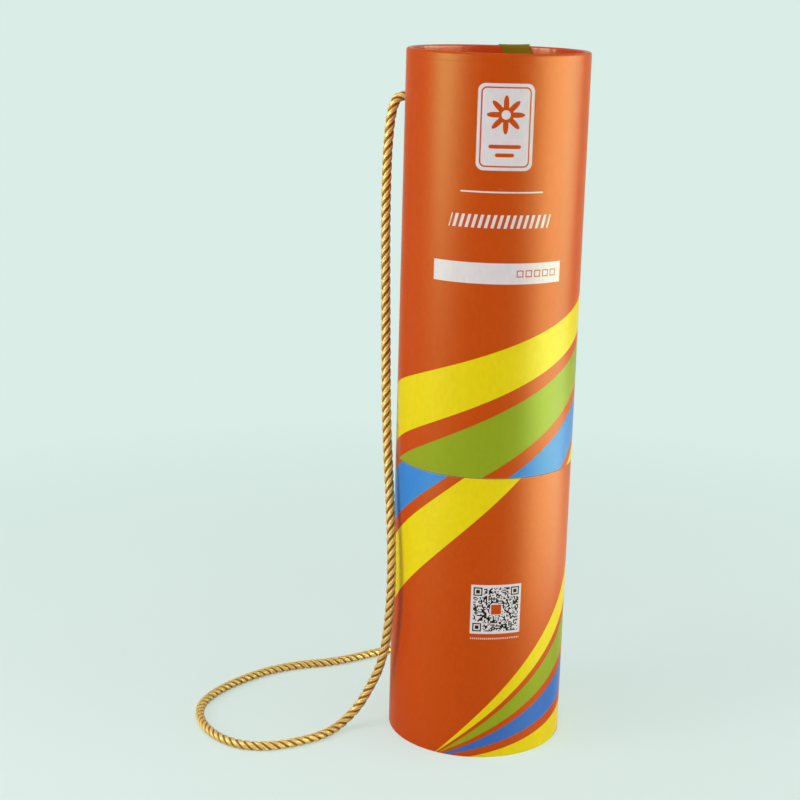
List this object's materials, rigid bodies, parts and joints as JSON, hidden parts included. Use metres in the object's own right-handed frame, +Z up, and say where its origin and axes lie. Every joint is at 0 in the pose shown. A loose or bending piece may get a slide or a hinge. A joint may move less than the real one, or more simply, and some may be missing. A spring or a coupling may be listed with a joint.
{
  "type": "round cardboard tube box with rope handle",
  "caption": "Tall round cardboard tube box with a lift-off lid over an inner neck and a twisted rope handle knotted inside lid and base.",
  "frame": {"origin": "centre of the foot, on the surface that the box stands on", "axes": "+Z up along the tube, -Y towards the printed front, -X towards the lid's rope hole"},
  "size_m": [0.2149, 0.1704, 0.3925],
  "materials": {
    "printed_paper": "orange printed paper with matt laminate, on wound paperboard",
    "end_board": "paperboard disc faced with orange paper",
    "neck_board": "plain grey-brown wound paperboard",
    "tab_paper": "olive green paper strip",
    "rope": "gold satin twisted three-strand rope"
  },
  "bodies": {
    "base": {"base_tube": "printed_paper", "base_end_disc": "end_board", "neck_tube": "neck_board", "rope_floor": "rope", "base_knot": "rope"},
    "lid": {"lid_tube": "printed_paper", "lid_end_disc": "end_board", "rim_tab": "tab_paper", "rope_hanging": "rope", "lid_knot": "rope"}
  },
  "joints": [
    {"name": "lid_lift", "type": "slide", "parent": "base", "child": "lid", "axis": [0, 0, 1], "range_m": [0, 0.08], "deforming": ["rope_hanging"]}
  ]
}
